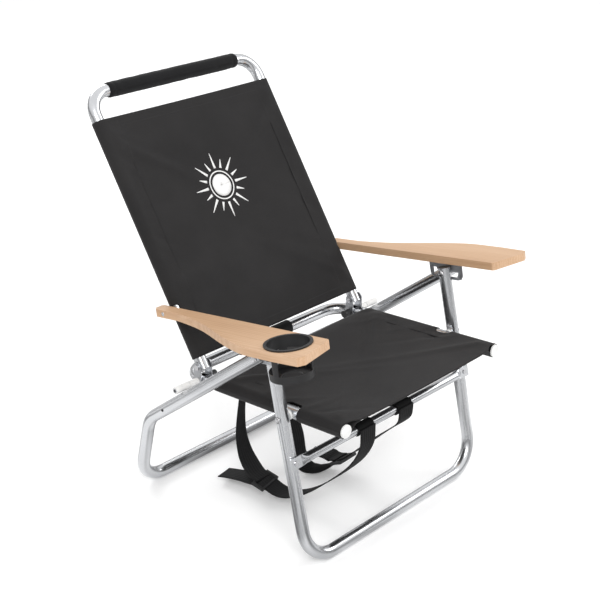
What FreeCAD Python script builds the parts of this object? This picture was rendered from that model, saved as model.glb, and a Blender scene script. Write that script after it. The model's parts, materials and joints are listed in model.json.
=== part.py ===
# Folding low beach chair: two U-shaped leg frames, a U-shaped seat frame, a
# U-shaped back frame, wooden arms with notched brackets, fabric slings, a cup
# holder and two carrying straps. Millimetres, +Z up, +X to the sitter's left,
# the sitter faces -Y, origin on the ground below the middle of the chair.
import FreeCAD, Part
import math
import os

os.makedirs("parts", exist_ok=True)
doc = FreeCAD.newDocument("beach_chair")
Vector = FreeCAD.Vector

# ---------------------------------------------------------------- dimensions
DIMENSIONS = {
    "tube_radius": 11.1, "tube_wall": 1.2,
    "front_leg_x": 224.5, "rear_leg_x": 250.6, "rail_x": 197.5,
    "origin_y": 255.27,
    "apex_y": 84.5, "apex_z": 378.0, "apex_overrun": 8.5,
    "foot_bend": 60.0, "rear_foot_bend": 55.0, "knee_bend": 60.0,
    "knee_y": 366.0, "knee_z": 158.0, "rear_foot_y": 402.6, "stud_reach": 63.0,
    "pivot_y": 59.0, "pivot_z": 266.5, "rail_slope": 4.46,
    "rail_front": 112.0, "crossbar_reach": 265.8, "seat_bend": 42.0,
    "hinge_y": 279.0, "hinge_z": 275.0,
    "back_angle": 56.91, "back_length": 509.8, "back_bend": 40.0, "back_overrun": 7.0,
    "arm_bolt_reach": 107.6, "arm_slope": 9.3, "arm_thick": 14.0,
    "arm_inner_x": 210.5, "arm_rear_width": 22.0, "arm_front_width": 86.5,
    "arm_rear_reach": 23.5, "arm_front_reach": 389.0,
    "cup_x": 253.5, "cup_reach": 326.0, "cup_bore": 34.0, "cup_wall": 1.5,
    "cup_rim_radius": 39.0, "cup_rim_height": 2.4, "cup_depth": 54.0, "cup_band": 12.0,
    "bolt_radius": 3.0, "bolt_clearance": 0.06, "insert_bore": 4.35, "head_radius": 6.0, "head_height": 3.0,
    "plate_thick": 1.6, "plate_x": 236.8, "notch_pitch": 16.0,
    "sling_inner": 11.2, "sling_outer": 12.2, "sling_low": 11.2, "sling_thick": 1.0,
    "seat_hem_lead": 9.5, "seat_sling_start": 0.5, "seat_sling_rear": 302.0,
    "back_sling_low": 14.5, "back_sling_high": 459.0,
    "grip_radius": 14.5, "grip_half": 154.0,
    "pin_radius": 4.0, "sleeve_radius": 6.2, "pin_end": 263.0, "pin_inner": 172.0, "pin_step": 231.5,
    "ear_thick": 1.8, "ear_gap": 0.5, "ear_half": 9.0,
    "stretcher_radius": 8.2, "stretcher_z": 191.5,
    "spreader_radius": 6.0, "spreader_reach": 197.0,
    "web_thick": 2.2, "web_width": 38.0,
}

sheet = doc.addObject("Spreadsheet::Sheet", "Dimensions")
for row, (alias, value) in enumerate(DIMENSIONS.items(), start=1):
    sheet.set("A%d" % row, alias)
    sheet.set("B%d" % row, str(value))
    sheet.setAlias("B%d" % row, alias)
doc.recompute()


def dim(alias):
    return float(sheet.get(alias))


nodes = []
SIDES = (("right", -1), ("left", 1))
R = dim("tube_radius")


# ------------------------------------------------------------------- helpers
def at(x, y, z):
    """A point whose y is measured from the front ground bar."""
    return Vector(x, y - dim("origin_y"), z)


def turn_to(direction):
    return FreeCAD.Rotation(Vector(0, 0, 1), direction)


def node(label, feature):
    feature.Label = label
    nodes.append((label, feature))
    return feature


def cylinder(name, base, direction, radius, height):
    """radius and height are expressions over the sheet."""
    body = doc.addObject("Part::Cylinder", name)
    body.setExpression("Radius", radius)
    body.setExpression("Height", height)
    body.Placement = FreeCAD.Placement(base, turn_to(direction))
    return body


def block(name, corner, rotation, length, width, height):
    body = doc.addObject("Part::Box", name)
    body.setExpression("Length", length)
    body.setExpression("Width", width)
    body.setExpression("Height", height)
    body.Placement = FreeCAD.Placement(corner, rotation)
    return body


def fuse(name, parts):
    if len(parts) == 1:
        return parts[0]
    joined = doc.addObject("Part::MultiFuse", name)
    joined.Shapes = parts
    return joined


def group(name, parts):
    """Separate solids kept together as one node."""
    joined = doc.addObject("Part::Compound", name)
    joined.Links = parts
    return joined


def cut(name, base, tools):
    result = doc.addObject("Part::Cut", name)
    result.Base = base
    result.Tool = fuse(name + "_tools", tools)
    return result


def common(name, first, second):
    result = doc.addObject("Part::Common", name)
    result.Base = first
    result.Tool = second
    return result


def tube_run(name, start, stop, radius):
    run = doc.addObject("Part::Cylinder", name)
    run.setExpression("Radius", radius)
    run.Height = (stop - start).Length
    run.Placement = FreeCAD.Placement(start, turn_to(stop - start))
    return run


def tube_bend(name, centre, first, last, radius):
    """A piece of a ring from first round to last."""
    opening = first - centre
    normal = opening.cross(last - centre)
    bend = doc.addObject("Part::Torus", name)
    bend.Radius1 = opening.Length
    bend.setExpression("Radius2", radius)
    bend.Angle3 = math.degrees(opening.getAngle(last - centre))
    turn = FreeCAD.Rotation(opening, normal.cross(opening), normal, "ZXY")
    bend.Placement = FreeCAD.Placement(centre, turn)
    return bend


def round_bar(name, points, radii, radius):
    """Straight runs joined by tangent bends, one bend radius per inner point."""
    pieces = []
    start = points[0]
    for index, bend_radius in enumerate(radii):
        before, corner, after = points[index:index + 3]
        inward = (before - corner).normalize()
        outward = (after - corner).normalize()
        half = inward.getAngle(outward) / 2
        reach = bend_radius / math.tan(half)
        first = corner + inward * reach
        last = corner + outward * reach
        bisector = (inward + outward).normalize()
        centre = corner + bisector * (bend_radius / math.sin(half))
        pieces.append(tube_run("%s_run_%d" % (name, index), start, first, radius))
        pieces.append(tube_bend("%s_bend_%d" % (name, index), centre, first, last, radius))
        start = last
    pieces.append(tube_run("%s_run_end" % name, start, points[-1], radius))
    return fuse(name, pieces)


def bent_tube(name, points, radii):
    outer = round_bar(name + "_outer", points, radii, "Dimensions.tube_radius")
    inner = round_bar(name + "_inner", points, radii, "Dimensions.tube_radius - Dimensions.tube_wall")
    return outer, inner


def cross_hole(name, x, y, z, half_length, radius="Dimensions.bolt_radius + Dimensions.bolt_clearance"):
    """A drilled hole across a tube, along X."""
    return cylinder(name, at(x - half_length, y, z), Vector(1, 0, 0), radius, "%f" % (2 * half_length))


def prism(name, outline, depth):
    """A flat outline (a list of edges' corner points or a wire) pushed along depth."""
    wire = outline if isinstance(outline, Part.Wire) else Part.makePolygon(outline + [outline[0]])
    solid = doc.addObject("Part::Feature", name)
    solid.Shape = Part.Face(wire).extrude(depth)
    return solid


def dome_head(name, x, y, z, side, radius="Dimensions.head_radius", height="Dimensions.head_height"):
    """A low rounded bolt head whose flat face is at x, bulging along side."""
    ball = doc.addObject("Part::Ellipsoid", name + "_dome")
    ball.setExpression("Radius1", height)
    ball.setExpression("Radius2", radius)
    ball.setExpression("Radius3", radius)
    ball.Angle1 = 0
    ball.Placement = FreeCAD.Placement(at(x, y, z), turn_to(Vector(side, 0, 0)))
    return ball


# ------------------------------------------------------- key lines and points
apex = Vector(0, dim("apex_y"), dim("apex_z"))
foot = Vector(0, 0, R)
leg_line = (apex - foot).normalize()
pivot = Vector(0, dim("pivot_y"), dim("pivot_z"))
slope = math.radians(dim("rail_slope"))
rail_line = Vector(0, math.cos(slope), -math.sin(slope))
rail_up = Vector(0, math.sin(slope), math.cos(slope))
rail_front = pivot - rail_line * dim("rail_front")
hinge = Vector(0, dim("hinge_y"), dim("hinge_z"))
back_tilt = math.radians(dim("back_angle"))
back_line = Vector(0, math.cos(back_tilt), math.sin(back_tilt))
back_out = Vector(0, -math.sin(back_tilt), math.cos(back_tilt))
arm_bolt = hinge + back_line * dim("arm_bolt_reach")
arm_tilt = math.radians(dim("arm_slope"))
arm_line = Vector(0, -math.cos(arm_tilt), math.sin(arm_tilt))
arm_up = Vector(0, math.sin(arm_tilt), math.cos(arm_tilt))
knee = Vector(0, dim("knee_y"), dim("knee_z"))
rear_foot = Vector(0, dim("rear_foot_y"), R)
rear_line = (knee - apex).normalize()
rest_pin = pivot + rail_line * ((hinge.y - pivot.y) / math.cos(slope))
REAL_ORIGIN = Vector(0, dim("origin_y"), 0)


def place(point, x):
    return Vector(x, point.y, point.z) - REAL_ORIGIN


def mirrored(points):
    """A path from the right-hand side over to the left-hand side."""
    return points + [Vector(-p.x, p.y, p.z) for p in reversed(points)]


# ---------------------------------------------------------- front leg frame
def front_leg_frame():
    x = dim("front_leg_x")
    top = apex + leg_line * dim("apex_overrun")
    points = mirrored([place(top, -x), place(foot, -x)])
    bend = dim("foot_bend")
    outer, inner = bent_tube("front_leg", points, [bend, bend])
    holes = [inner]
    for side, sign in SIDES:
        holes.append(cross_hole("front_apex_hole_" + side, sign * x, apex.y, apex.z, R + 2))
        holes.append(cross_hole("front_pivot_hole_" + side, sign * x, pivot.y, pivot.z, R + 2))
        centre = leg_point(dim("stretcher_z"))
        holes.append(cylinder("stretcher_hole_" + side, place(centre - leg_front * (R + 2), sign * x),
                              leg_front, "Dimensions.bolt_radius - 0.8", "2 * Dimensions.tube_radius + 4"))
    node("front_leg_frame", cut("front_leg_frame", outer, holes))


leg_front = Vector(0, -leg_line.z, leg_line.y)


def leg_point(z):
    return foot + leg_line * ((z - foot.z) / leg_line.z)


def end_plugs(name, point, line, x):
    """Rounded push-in plugs in the ends of a pair of tubes."""
    plugs = []
    for side, sign in SIDES:
        base = place(point, sign * x)
        stem = cylinder(name + "_stem_" + side, base - line * 5, line,
                        "Dimensions.tube_radius - Dimensions.tube_wall - 0.05", "5")
        lip = cylinder(name + "_lip_" + side, base, line, "Dimensions.tube_radius - 0.3", "1.4")
        plugs.append(fuse(name + "_" + side, [stem, lip]))
    node(name, group(name, plugs))


def stretcher():
    """Round bar in front of the legs, with ends flattened for a rivet."""
    x = dim("front_leg_x")
    centre = leg_point(dim("stretcher_z")) + leg_front * (R + 1.7)
    flat_half = 10.0
    bar = cylinder("stretcher_bar", place(centre, -(x - 26)), Vector(1, 0, 0),
                   "Dimensions.stretcher_radius", "2 * (Dimensions.front_leg_x - 26)")
    pieces = [bar]
    turn = FreeCAD.Rotation(Vector(1, 0, 0), leg_line, leg_front * -1, "XYZ")
    for side, sign in SIDES:
        flat = Part.makeBox(22, 2 * flat_half, 3.0, Vector(-11, -flat_half, -1.5))
        tab = doc.addObject("Part::Feature", "stretcher_tab_" + side)
        tab.Shape = flat
        tab.Placement = FreeCAD.Placement(place(centre, sign * x), turn)
        round_wire = Part.Wire([Part.makeCircle(dim("stretcher_radius"), place(centre, sign * (x - 26)),
                                                Vector(1, 0, 0))])
        corner = []
        for along, across in ((-1, -1), (1, -1), (1, 1), (-1, 1)):
            corner.append(place(centre + leg_line * (along * flat_half) + leg_front * (across * 1.5),
                                sign * (x - 11)))
        flat_wire = Part.makePolygon(corner + [corner[0]])
        blend = doc.addObject("Part::Feature", "stretcher_blend_" + side)
        blend.Shape = Part.makeLoft([round_wire, flat_wire], True, False)
        pieces += [tab, blend]
    holes = []
    for side, sign in SIDES:
        holes.append(cylinder("tab_hole_" + side, place(centre - leg_front * 4, sign * x), leg_front,
                              "Dimensions.bolt_radius - 0.8", "8"))
    node("front_stretcher", cut("front_stretcher", fuse("stretcher_solid", pieces), holes))
    rivets = []
    for side, sign in SIDES:
        start = centre - leg_front * 12
        shank = cylinder("stretcher_shank_" + side, place(start, sign * x), leg_front,
                         "Dimensions.bolt_radius - 0.85", "13.6")
        head = cylinder("stretcher_head_" + side, place(centre + leg_front * 1.55, sign * x), leg_front,
                        "4.5", "1.6")
        rivets.append(fuse("stretcher_rivet_" + side, [shank, head]))
    node("stretcher_rivets", group("stretcher_rivets", rivets))


def cross_bolts(name, point, start_x, end_x, head_at_end=True):
    """One bolt per side along X, with a domed head on its outer or inner end."""
    bolts = []
    for side, sign in SIDES:
        shank = cylinder(name + "_shank_" + side, place(point, sign * start_x), Vector(sign, 0, 0),
                         "Dimensions.bolt_radius", "%f" % (end_x - start_x))
        head_x = end_x if head_at_end else start_x
        way = sign if head_at_end else -sign
        ball = dome_head(name + "_head_" + side, sign * head_x, point.y, point.z, way)
        bolts.append(fuse(name + "_" + side, [shank, ball]))
    return bolts


def front_leg_hardware():
    x = dim("front_leg_x")
    end_plugs("front_leg_plugs", apex + leg_line * dim("apex_overrun"), leg_line, x)
    node("apex_bolts_inner", group("apex_bolts_inner",
         cross_bolts("apex_inner", apex, x - R - 0.05, x + R - 0.2, head_at_end=False)))
    inner_end = dim("rail_x") - R - 1.0
    node("seat_pivot_bolts", group("seat_pivot_bolts",
         cross_bolts("seat_pivot", pivot, inner_end, x + R + 0.05)))
    spacers = []
    nuts = []
    for side, sign in SIDES:
        start = dim("rail_x") + R + 0.35
        stop = x - R - 0.3
        tube = cylinder("spacer_tube_" + side, place(pivot, sign * start), Vector(sign, 0, 0), "8",
                        "%f" % (stop - start))
        bore = cylinder("spacer_bore_" + side, place(pivot, sign * (start - 1)), Vector(sign, 0, 0),
                        "Dimensions.bolt_radius + Dimensions.bolt_clearance", "%f" % (stop - start + 2))
        spacers.append(cut("spacer_" + side, tube, [bore]))
        nut = hex_nut("pivot_nut_" + side, place(pivot, sign * (inner_end - 4.4)), Vector(sign, 0, 0), 4.2)
        nuts.append(nut)
    node("seat_pivot_spacers", group("seat_pivot_spacers", spacers))
    node("seat_pivot_nuts", group("seat_pivot_nuts", nuts))


def hex_nut(name, base, direction, height, across=5.6):
    """A closed acorn-style nut: a hexagon with a domed far side."""
    prism_nut = doc.addObject("Part::Prism", name)
    prism_nut.Polygon = 6
    prism_nut.Circumradius = across
    prism_nut.Height = height
    prism_nut.Placement = FreeCAD.Placement(base, turn_to(direction))
    return prism_nut


# ----------------------------------------------------------- rear leg frame
def rear_leg_frame():
    x = dim("rear_leg_x")
    top = apex - rear_line * dim("apex_overrun")
    points = mirrored([place(top, -x), place(knee, -x), place(rear_foot, -x)])
    radii = [dim("knee_bend"), dim("rear_foot_bend"), dim("rear_foot_bend"), dim("knee_bend")]
    outer, inner = bent_tube("rear_leg", points, radii)
    holes = [inner]
    for side, sign in SIDES:
        holes.append(cross_hole("rear_apex_hole_" + side, sign * x, apex.y, apex.z, R + 2))
        hole_at = knee - rear_line * dim("stud_reach")
        holes.append(cylinder("knee_hole_" + side, place(hole_at, sign * x), Vector(sign, 0, 0),
                              "Dimensions.bolt_radius - 0.5", "Dimensions.tube_radius + 4"))
    node("rear_leg_frame", cut("rear_leg_frame", outer, holes))
    end_plugs("rear_leg_plugs", top, rear_line * -1, x)
    node("apex_bolts_outer", group("apex_bolts_outer",
         cross_bolts("apex_outer", apex, x - R + 0.2, x + R + 0.05)))
    studs = []
    for side, sign in SIDES:
        base = place(knee - rear_line * dim("stud_reach"), sign * (x + R - 3.5))
        studs.append(cylinder("knee_stud_" + side, base, Vector(sign, 0, 0),
                              "Dimensions.bolt_radius - 0.55", "4.3"))
    node("knee_studs", group("knee_studs", studs))


# --------------------------------------------------------------- seat frame
def seat_frame():
    x = dim("rail_x")
    corner = pivot + rail_line * dim("crossbar_reach")
    points = mirrored([place(rail_front, -x), place(corner, -x)])
    bend = dim("seat_bend")
    outer, inner = bent_tube("seat", points, [bend, bend])
    holes = [inner]
    for side, sign in SIDES:
        holes.append(cross_hole("seat_pivot_hole_" + side, sign * x, pivot.y, pivot.z, R + 2))
        holes.append(cross_hole("rest_pin_hole_" + side, sign * x, rest_pin.y, rest_pin.z, R + 2,
                                "Dimensions.pin_radius + 0.05"))
        spreader_at = pivot + rail_line * dim("spreader_reach")
        holes.append(cylinder("spreader_hole_" + side, place(spreader_at, sign * (x - R - 2)),
                              Vector(sign, 0, 0), "Dimensions.spreader_radius + 0.05", "10"))
    node("seat_frame", cut("seat_frame", outer, holes))
    spreader_at = pivot + rail_line * dim("spreader_reach")
    node("seat_rear_spreader",
         cylinder("seat_rear_spreader", place(spreader_at, -(x - R + 3)), Vector(1, 0, 0),
                  "Dimensions.spreader_radius", "2 * (Dimensions.rail_x - Dimensions.tube_radius + 3)"))


def seat_caps():
    caps = []
    x = dim("rail_x")
    for side, sign in SIDES:
        base = place(rail_front, sign * x)
        stem = cylinder("seat_cap_stem_" + side, base, rail_line,
                        "Dimensions.tube_radius - Dimensions.tube_wall - 0.05", "14")
        face = cylinder("seat_cap_face_" + side, base - rail_line * 3, rail_line,
                        "Dimensions.tube_radius + 0.2", "3")
        caps.append(fuse("seat_cap_" + side, [stem, face]))
    node("seat_end_caps", group("seat_end_caps", caps))


def sling(name, origin, line, up, length, outline, lead=0.0):
    """Fabric stretched between two parallel tubes, with a sleeve round each.

    The section runs along line; outline is its plan shape (x, distance) seen along up.
    The flat middle may reach ahead of the sleeves by lead.
    """
    x = dim("rail_x")
    turn = FreeCAD.Rotation(Vector(1, 0, 0), line, up, "XYZ")
    corner = place(origin - line * lead + up * dim("sling_low"), -x)
    sheet_box = block(name + "_sheet", corner, turn,
                      "2 * Dimensions.rail_x", "%f" % (length + lead), "Dimensions.sling_thick")
    outer = [sheet_box]
    inner = []
    for side, sign in SIDES:
        outer.append(cylinder(name + "_sleeve_" + side, place(origin, sign * x), line,
                              "Dimensions.sling_outer", "%f" % length))
        inner.append(cylinder(name + "_tube_" + side, place(origin - line, sign * x), line,
                              "Dimensions.sling_inner", "%f" % (length + 2)))
    section = cut(name + "_section", fuse(name + "_cloth", outer), inner)
    corners = []
    for across, along in outline:
        corners.append(place(origin + line * along - up * 20, 0) + Vector(across, 0, 0))
    plan = prism(name + "_plan", corners, up * 40)
    return common(name, section, plan)


def seat_sling():
    edge = dim("rail_x") + 20
    start = dim("seat_sling_start")
    rear = dim("seat_sling_rear")
    lead = dim("seat_hem_lead")
    notch = dim("rail_front")
    notch_half = 16.0
    notch_in = dim("rail_x") - 6
    right = [(-165, -lead), (-184, start), (-edge, start), (-edge, notch - notch_half),
             (-notch_in, notch - notch_half + 6), (-notch_in, notch + notch_half - 6),
             (-edge, notch + notch_half), (-edge, rear - 12), (-170, rear)]
    left = [(-across, along) for across, along in reversed(right)]
    cloth = sling("seat_sling_cloth", rail_front, rail_line, rail_up, rear, right + left, lead)
    holes = []
    for side, sign in SIDES:
        holes.append(cross_hole("seat_sling_hole_" + side, sign * dim("rail_x"), pivot.y, pivot.z, R + 4,
                                "Dimensions.bolt_radius + 0.5"))
    node("seat_sling", cut("seat_sling", cloth, holes))


def back_sling():
    edge = dim("rail_x") + 20
    low = dim("back_sling_low")
    high = dim("back_sling_high")
    reach = dim("arm_bolt_reach")
    slit = 6.0
    slit_in = dim("rail_x") + 8.0
    right = [(-edge, low), (-edge, reach - slit), (-slit_in, reach - slit), (-slit_in, reach + slit),
             (-edge, reach + slit), (-edge, high)]
    left = [(-across, along) for across, along in reversed(right)]
    node("back_sling", sling("back_sling", hinge, back_line, back_out, high, right + left))


# ------------------------------------------------ hinge brackets and pins
def hinge_brackets():
    x = dim("rail_x")
    thick = dim("ear_thick")
    half = dim("ear_half")
    brackets = []
    for side, sign in SIDES:
        inner = R + dim("ear_gap")
        outline = [hinge + rail_line * half, hinge - rail_line * half,
                   rest_pin - rail_line * half - rail_up * (R + 1.5 + thick),
                   rest_pin + rail_line * half - rail_up * (R + 1.5 + thick)]
        plates = []
        for label, offset in (("out", inner), ("in", -inner - thick)):
            corners = [place(point, sign * x + offset) for point in outline]
            plates.append(prism("ear_%s_%s" % (label, side), corners, Vector(thick, 0, 0)))
            plates.append(cylinder("ear_top_%s_%s" % (label, side), place(hinge, sign * x + offset),
                                   Vector(1, 0, 0), "Dimensions.ear_half", "Dimensions.ear_thick"))
        web = [rest_pin - rail_line * half - rail_up * (R + 1.5 + thick),
               rest_pin + rail_line * half - rail_up * (R + 1.5 + thick),
               rest_pin + rail_line * half - rail_up * (R + 1.5),
               rest_pin - rail_line * half - rail_up * (R + 1.5)]
        corners = [place(point, sign * x - inner - thick) for point in web]
        plates.append(prism("bracket_web_" + side, corners, Vector(2 * (inner + thick), 0, 0)))
        holes = [cross_hole("bracket_hinge_hole_" + side, sign * x, hinge.y, hinge.z, inner + thick + 3),
                 cross_hole("bracket_pin_hole_" + side, sign * x, rest_pin.y, rest_pin.z,
                            inner + thick + 3, "Dimensions.pin_radius + 0.05")]
        brackets.append(cut("hinge_bracket_" + side, fuse("bracket_solid_" + side, plates), holes))
    node("hinge_brackets", group("hinge_brackets", brackets))


def rest_pins():
    pins, inner_sleeves, outer_sleeves, caps = [], [], [], []
    ear_out = dim("rail_x") + R + dim("ear_gap") + dim("ear_thick")
    ear_in = dim("rail_x") - R - dim("ear_gap") - dim("ear_thick")
    end = dim("pin_end")
    step = dim("pin_step")
    for side, sign in SIDES:
        way = Vector(sign, 0, 0)
        rod = cylinder("pin_rod_" + side, place(rest_pin, sign * dim("pin_inner")), way,
                       "Dimensions.pin_radius", "%f" % (end - dim("pin_inner")))
        bore = cylinder("pin_bore_" + side, place(rest_pin, sign * (end - 14)), way, "2.4", "20")
        pins.append(cut("rest_pin_" + side, rod, [bore]))
        for label, start, stop, radius, store in (
                ("in", ear_out + 0.2, step - 0.5, "Dimensions.sleeve_radius - 0.3", inner_sleeves),
                ("out", step + 0.5, end - 0.6, "Dimensions.sleeve_radius", outer_sleeves)):
            tube = cylinder("sleeve_%s_%s" % (label, side), place(rest_pin, sign * start), way, radius,
                            "%f" % (stop - start))
            hole = cylinder("sleeve_hole_%s_%s" % (label, side), place(rest_pin, sign * (start - 1)), way,
                            "Dimensions.pin_radius + 0.05", "%f" % (stop - start + 2))
            store.append(cut("rest_sleeve_%s_%s" % (label, side), tube, [hole]))
        shell = cylinder("cap_shell_" + side, place(rest_pin, sign * (dim("pin_inner") - 3)), way, "7",
                         "%f" % (ear_in - 0.2 - dim("pin_inner") + 3))
        hollow = cylinder("cap_hollow_" + side, place(rest_pin, sign * (dim("pin_inner") - 0.1)), way,
                          "Dimensions.pin_radius + 0.05", "30")
        caps.append(cut("rest_cap_" + side, shell, [hollow]))
    node("rest_pins", group("rest_pins", pins))
    node("rest_sleeves_inner", group("rest_sleeves_inner", inner_sleeves))
    node("rest_sleeves_outer", group("rest_sleeves_outer", outer_sleeves))
    node("rest_pin_caps", group("rest_pin_caps", caps))


def back_hinge_bolts():
    x = dim("rail_x")
    reach = R + dim("ear_gap") + dim("ear_thick") + 0.1
    bolts, nuts = [], []
    for side, sign in SIDES:
        shank = cylinder("hinge_shank_" + side, place(hinge, sign * (x - reach - 5)), Vector(sign, 0, 0),
                         "Dimensions.bolt_radius", "%f" % (2 * reach + 5))
        head = cylinder("hinge_head_" + side, place(hinge, sign * (x + reach)), Vector(sign, 0, 0),
                        "5.2", "2.2")
        bolts.append(fuse("hinge_bolt_" + side, [shank, head]))
        nut = hex_nut("hinge_nut_solid_" + side, place(hinge, sign * (x - reach - 4.6)), Vector(sign, 0, 0), 4.4)
        bore = cylinder("hinge_nut_bore_" + side, place(hinge, sign * (x - reach - 8)), Vector(sign, 0, 0),
                        "Dimensions.bolt_radius + 0.02", "14")
        nuts.append(cut("hinge_nut_" + side, nut, [bore]))
    node("back_hinge_bolts", group("back_hinge_bolts", bolts))
    node("back_hinge_nuts", group("back_hinge_nuts", nuts))


# --------------------------------------------------------------- back frame
def back_frame():
    x = dim("rail_x")
    low = hinge - back_line * dim("back_overrun")
    corner = hinge + back_line * dim("back_length")
    points = mirrored([place(low, -x), place(corner, -x)])
    bend = dim("back_bend")
    outer, inner = bent_tube("back", points, [bend, bend])
    holes = [inner]
    for side, sign in SIDES:
        holes.append(cross_hole("back_hinge_hole_" + side, sign * x, hinge.y, hinge.z, R + 2))
        holes.append(cylinder("arm_insert_hole_" + side, place(arm_bolt, sign * (x - 2)), Vector(sign, 0, 0),
                              "5.05", "16"))
    node("back_frame", cut("back_frame", outer, holes))
    inserts = []
    for side, sign in SIDES:
        tube = cylinder("insert_tube_" + side, place(arm_bolt, sign * (x - 1)), Vector(sign, 0, 0), "5.0",
                        "%f" % (R + 1.0))
        bore = cylinder("insert_bore_" + side, place(arm_bolt, sign * (x - 2)), Vector(sign, 0, 0),
                        "Dimensions.insert_bore", "20")
        inserts.append(cut("arm_insert_" + side, tube, [bore]))
    node("arm_inserts", group("arm_inserts", inserts))


def grip():
    corner = hinge + back_line * dim("back_length")
    half = dim("grip_half")
    outer = cylinder("grip_outer", place(corner, -half), Vector(1, 0, 0), "Dimensions.grip_radius",
                     "2 * Dimensions.grip_half")
    inner = cylinder("grip_inner", place(corner, -half - 1), Vector(1, 0, 0), "Dimensions.tube_radius + 0.1",
                     "2 * Dimensions.grip_half + 2")
    node("back_grip", cut("back_grip", outer, [inner]))


# --------------------------------------------------------------------- arms
def arm_point(across, along, rise=0.0):
    """across is |x|, along runs forward from the arm bolt, rise is off the middle plane."""
    return place(arm_bolt + arm_line * along + arm_up * rise, 0) + Vector(across, 0, 0)


def arm_outline(sign):
    """The plank's plan: straight inner edge, flared outer edge, cut front corners."""
    inner = dim("arm_inner_x")
    narrow = inner + dim("arm_rear_width")
    wide = inner + dim("arm_front_width")
    rear = -dim("arm_rear_reach")
    front = dim("arm_front_reach")
    rise = -dim("arm_thick") / 2

    def spot(across, along):
        return arm_point(sign * across, along, rise)

    flare = [(narrow, 38), (narrow + 16.5, 120), (narrow + 43.5, 193), (narrow + 58.5, 240), (wide, 287)]
    curve = Part.BSplineCurve()
    curve.interpolate([spot(*pair) for pair in flare],
                      InitialTangent=arm_line * 40 + Vector(sign * 5, 0, 0), FinalTangent=arm_line * 40)
    corners = [flare[-1], (wide, 330), (wide - 3, front - 6), (wide - 15, front), (inner + 3, front - 15),
               (inner, front - 19), (inner, rear + 3), (inner + 3, rear), (narrow - 6, rear),
               (narrow, rear + 6), flare[0]]
    edges = [curve.toShape()]
    for start, stop in zip(corners, corners[1:]):
        edges.append(Part.LineSegment(spot(*start), spot(*stop)).toShape())
    return Part.Wire(edges)


def arm_plank(side, sign):
    name = "arm_plank_" + side
    blank = prism(name + "_blank", arm_outline(sign), arm_up * dim("arm_thick"))
    holes = [cylinder(name + "_bolt_hole", place(arm_bolt, sign * (dim("arm_inner_x") - 5)), Vector(sign, 0, 0),
                      "Dimensions.bolt_radius + Dimensions.bolt_clearance", "60")]
    if side == "right":
        start = arm_point(sign * dim("cup_x"), dim("cup_reach"), -20)
        holes.append(cylinder(name + "_cup_hole", start, arm_up,
                              "Dimensions.cup_bore + Dimensions.cup_wall + 0.3", "40"))
    for index, along in enumerate(SCREWS):
        start = arm_point(sign * SCREW_X, along, -dim("arm_thick") / 2 - 1)
        holes.append(cylinder("%s_screw_hole_%d" % (name, index), start, arm_up, "2.05", "10"))
    node(name, cut(name, blank, holes))


SCREW_X = 246.0
SCREWS = (232.0, 254.0, 276.0)


def notch_plate(side, sign):
    """Vertical plate with a closed slot and three notches, flanged to the plank."""
    thick = dim("plate_thick")
    base_x = dim("plate_x")
    under = -dim("arm_thick") / 2
    to_apex = Vector(0, apex.y - arm_bolt.y, apex.z - arm_bolt.z)
    apex_along = to_apex.dot(arm_line)
    apex_rise = to_apex.dot(arm_up)

    def spot(along, rise):
        return arm_point(0, apex_along + along, apex_rise + rise)

    low = -17.5
    top = under - apex_rise
    outline = [(30, top), (31, low + 9), (27, low + 2), (20, low), (-35, low), (-43, low + 8), (-45, top)]
    blank = prism("notch_blank_" + side, [spot(*p) + Vector(sign * base_x, 0, 0) for p in outline],
                  Vector(sign * thick, 0, 0))
    pitch = dim("notch_pitch")
    notch = 3.5
    roof = 3.4
    floor = -12.0
    tooth = -2.2
    slot = [(18, floor), (21, floor + 7), (21, tooth)]
    for step in (0, -pitch, -2 * pitch):
        slot += [(step + notch + 3, tooth), (step + notch, roof), (step - notch, roof)]
        if step > -2 * pitch:
            slot.append((step - notch - 3, tooth))
    slot += [(-2 * pitch - notch, floor + 3), (-2 * pitch - notch + 3, floor)]
    window = prism("notch_window_" + side,
                   [spot(*p) + Vector(sign * (base_x - 1), 0, 0) for p in slot],
                   Vector(sign * (thick + 2), 0, 0))
    flange_outline = [(30, top), (-45, top), (-45, top - thick), (30, top - thick)]
    flange = prism("notch_flange_" + side,
                   [spot(*p) + Vector(sign * base_x, 0, 0) for p in flange_outline], Vector(sign * 17, 0, 0))
    holes = [window]
    for index, along in enumerate(SCREWS):
        start = arm_point(sign * SCREW_X, along, under - 4)
        holes.append(cylinder("plate_hole_%s_%d" % (side, index), start, arm_up, "2.3", "8"))
    name = "notch_plate_" + side
    node(name, cut(name, fuse("notch_solid_" + side, [blank, flange]), holes))
    screws = []
    for index, along in enumerate(SCREWS):
        start = arm_point(sign * SCREW_X, along, under - thick - 0.05)
        shank = cylinder("screw_shank_%s_%d" % (side, index), start, arm_up, "2.0", "9")
        head = cylinder("screw_head_%s_%d" % (side, index), start - arm_up * 1.6, arm_up, "3.8", "1.6")
        screws.append(fuse("screw_%s_%d" % (side, index), [shank, head]))
    node("plate_screws_" + side, group("plate_screws_" + side, screws))


def arm_bolt_set(side, sign):
    outer_x = dim("arm_inner_x") + dim("arm_rear_width")
    start_x = dim("rail_x")
    shank = cylinder("arm_shank_" + side, place(arm_bolt, sign * start_x), Vector(sign, 0, 0),
                     "Dimensions.bolt_radius", "%f" % (outer_x - start_x + 0.1))
    head = dome_head("arm_head_" + side, sign * (outer_x + 0.05), arm_bolt.y, arm_bolt.z, sign,
                     radius="3.6", height="1.2")
    node("arm_bolt_" + side, fuse("arm_bolt_" + side, [shank, head]))


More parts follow.
